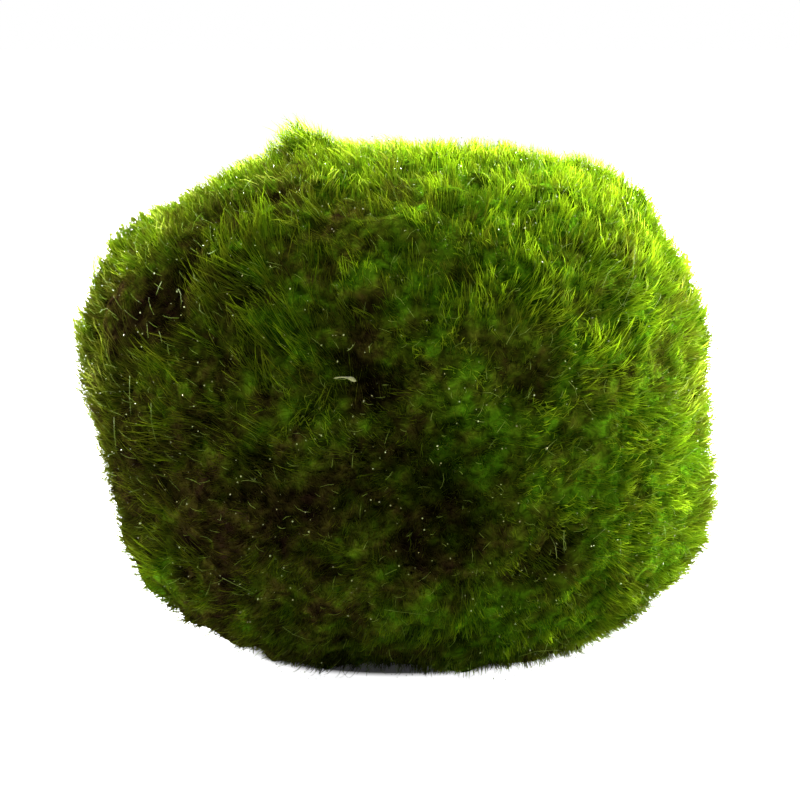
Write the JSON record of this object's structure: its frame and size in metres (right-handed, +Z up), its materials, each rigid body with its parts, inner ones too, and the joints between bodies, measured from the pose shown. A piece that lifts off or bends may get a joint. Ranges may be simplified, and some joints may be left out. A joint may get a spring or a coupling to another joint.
{
  "type": "marimo moss ball",
  "caption": "Lumpy, slightly square ball of soft green filaments with a pointed tuft on top, resting on a small flat foot.",
  "frame": {"origin": "middle of the bounding box's underside, on the plane of the flat foot", "axes": "+Z up, away from the foot; +X to the right and -Y towards the viewer, as the picture sees it"},
  "size_m": [0.0514, 0.0464, 0.0425],
  "materials": {
    "moss": "dense wet green filaments, yellow-green at the tips and olive brown between the tufts"
  },
  "bodies": {
    "root": {"moss_ball": "moss"}
  },
  "joints": []
}
